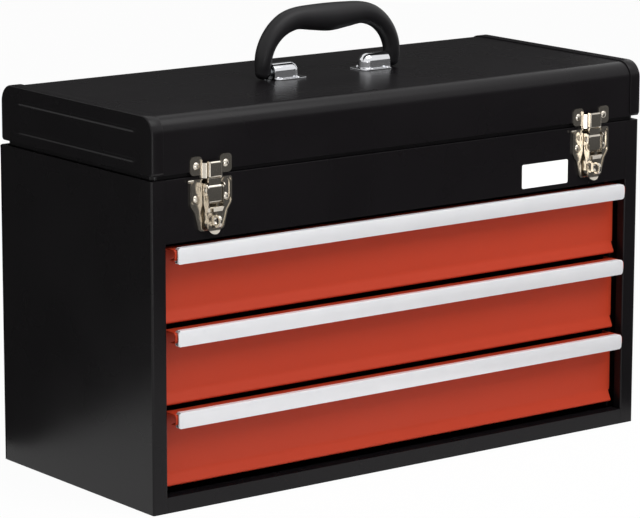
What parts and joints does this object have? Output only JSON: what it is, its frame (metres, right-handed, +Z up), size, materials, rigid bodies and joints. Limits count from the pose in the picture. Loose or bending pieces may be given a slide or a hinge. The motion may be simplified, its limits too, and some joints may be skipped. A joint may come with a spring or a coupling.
{
  "type": "portable tool box with drawers",
  "caption": "Portable steel tool box: hinged lid over an open top tray, stacked ball-bearing drawers with aluminium pull strips, draw latches with padlock eyes and a folding carrying handle.",
  "frame": {"origin": "middle of the face that the box stands on, halfway between the side panels and between the front frame and the back panel", "axes": "+X to the right seen from the front, front towards -Y, +Z up"},
  "size_m": [0.51, 0.237, 0.3786],
  "materials": {
    "painted_steel_black": "satin black powder coat",
    "painted_steel_red": "satin red powder coat",
    "painted_tray": "satin black powder coat",
    "satin_aluminium": "satin anodised",
    "zinc_plated_steel": "bright zinc plate",
    "hinge_paint": "satin black paint",
    "ball_steel": "polished",
    "nickel_plated_steel": "satin nickel plate",
    "chromed_steel": "bright chrome plate",
    "moulded_plastic": "moulded, fine grain",
    "white_plate": "smooth white film"
  },
  "bodies": {
    "cabinet": {"base_pan": "painted_steel_black", "side_panel_left": "painted_steel_black", "side_panel_right": "painted_steel_black", "back_panel": "painted_steel_black", "front_header": "painted_steel_black", "slide_channels": "painted_steel_black", "top_tray": "painted_steel_black", "header_plate": "white_plate", "cabinet_rails": "zinc_plated_steel", "hinge_leaf_cabinet": "hinge_paint", "hinge_pin": "zinc_plated_steel", "hinge_rivets_cabinet": "zinc_plated_steel", "latch_base_left": "nickel_plated_steel", "latch_base_right": "nickel_plated_steel", "latch_base_rivets": "nickel_plated_steel", "latch_pivot_rivets": "nickel_plated_steel", "padlock_staple_left": "nickel_plated_steel", "padlock_staple_right": "nickel_plated_steel", "stay_guide_studs": "zinc_plated_steel"},
    "lid": {"lid_sheet": "painted_steel_black", "lid_end_cap_left": "painted_steel_black", "lid_end_cap_right": "painted_steel_black", "hinge_leaf_lid": "hinge_paint", "hinge_rivets_lid": "zinc_plated_steel", "stay_pivot_studs": "zinc_plated_steel", "handle_bracket_left": "chromed_steel", "handle_bracket_right": "chromed_steel", "handle_bracket_rivets": "chromed_steel", "latch_catch_left": "nickel_plated_steel", "latch_catch_right": "nickel_plated_steel", "latch_catch_rivets": "nickel_plated_steel"},
    "lid_stays": {"lid_stay_left": "zinc_plated_steel", "lid_stay_right": "zinc_plated_steel"},
    "handle": {"handle_grip": "moulded_plastic", "handle_studs": "zinc_plated_steel"},
    "drawer_top": {"drawer_front_top": "painted_steel_red", "drawer_pull_top": "satin_aluminium", "drawer_tray_top": "painted_tray", "drawer_rails_top": "zinc_plated_steel"},
    "ball_cage_top": {"ball_cages_top": "zinc_plated_steel", "slide_balls_top": "ball_steel"},
    "drawer_middle": {"drawer_front_middle": "painted_steel_red", "drawer_pull_middle": "satin_aluminium", "drawer_tray_middle": "painted_tray", "drawer_rails_middle": "zinc_plated_steel"},
    "ball_cage_middle": {"ball_cages_middle": "zinc_plated_steel", "slide_balls_middle": "ball_steel"},
    "drawer_bottom": {"drawer_front_bottom": "painted_steel_red", "drawer_pull_bottom": "satin_aluminium", "drawer_tray_bottom": "painted_tray", "drawer_rails_bottom": "zinc_plated_steel"},
    "ball_cage_bottom": {"ball_cages_bottom": "zinc_plated_steel", "slide_balls_bottom": "ball_steel"},
    "latch_left": {"latch_lever_left": "nickel_plated_steel", "latch_claw_pin_left": "nickel_plated_steel"},
    "claw_left": {"latch_claw_left": "nickel_plated_steel"},
    "latch_right": {"latch_lever_right": "nickel_plated_steel", "latch_claw_pin_right": "nickel_plated_steel"},
    "claw_right": {"latch_claw_right": "nickel_plated_steel"}
  },
  "joints": [
    {"name": "lid_hinge", "type": "hinge", "parent": "cabinet", "child": "lid", "pos_m": [0, 0.1088, 0.271], "axis": [-1, 0, 0], "range_deg": [0, 95]},
    {"name": "lid_stay_pivot", "type": "hinge", "parent": "lid", "child": "lid_stays", "pos_m": [0, 0.0791, 0.3007], "axis": [-1, 0, 0], "range_deg": [-47.5, 0]},
    {"name": "handle_pivot", "type": "hinge", "parent": "lid", "child": "handle", "pos_m": [0, -0.0019, 0.3252], "axis": [-1, 0, 0], "range_deg": [-78, 78]},
    {"name": "drawer_top_slide", "type": "slide", "parent": "cabinet", "child": "drawer_top", "axis": [0, -1, 0], "range_m": [0, 0.137]},
    {"name": "ball_cage_top_roll", "type": "slide", "parent": "cabinet", "child": "ball_cage_top", "axis": [0, -1, 0], "range_m": [0, 0.0685]},
    {"name": "drawer_middle_slide", "type": "slide", "parent": "cabinet", "child": "drawer_middle", "axis": [0, -1, 0], "range_m": [0, 0.137]},
    {"name": "ball_cage_middle_roll", "type": "slide", "parent": "cabinet", "child": "ball_cage_middle", "axis": [0, -1, 0], "range_m": [0, 0.0685]},
    {"name": "drawer_bottom_slide", "type": "slide", "parent": "cabinet", "child": "drawer_bottom", "axis": [0, -1, 0], "range_m": [0, 0.137]},
    {"name": "ball_cage_bottom_roll", "type": "slide", "parent": "cabinet", "child": "ball_cage_bottom", "axis": [0, -1, 0], "range_m": [0, 0.0685]},
    {"name": "latch_left_lever", "type": "hinge", "parent": "cabinet", "child": "latch_left", "pos_m": [-0.199, -0.1155, 0.2585], "axis": [-1, 0, 0], "range_deg": [0, 95]},
    {"name": "latch_left_claw", "type": "hinge", "parent": "latch_left", "child": "claw_left", "pos_m": [-0.199, -0.1146, 0.25], "axis": [-1, 0, 0], "range_deg": [-104.5, 0]},
    {"name": "latch_right_lever", "type": "hinge", "parent": "cabinet", "child": "latch_right", "pos_m": [0.199, -0.1155, 0.2585], "axis": [-1, 0, 0], "range_deg": [0, 95]},
    {"name": "latch_right_claw", "type": "hinge", "parent": "latch_right", "child": "claw_right", "pos_m": [0.199, -0.1146, 0.25], "axis": [-1, 0, 0], "range_deg": [-104.5, 0]}
  ],
  "couplings": [
    {"joint": "lid_stay_pivot", "follows": "lid_hinge", "ratio": -0.5},
    {"joint": "ball_cage_top_roll", "follows": "drawer_top_slide", "ratio": 0.5},
    {"joint": "ball_cage_middle_roll", "follows": "drawer_middle_slide", "ratio": 0.5},
    {"joint": "ball_cage_bottom_roll", "follows": "drawer_bottom_slide", "ratio": 0.5},
    {"joint": "latch_left_claw", "follows": "latch_left_lever", "ratio": -1.1},
    {"joint": "latch_right_claw", "follows": "latch_right_lever", "ratio": -1.1}
  ]
}
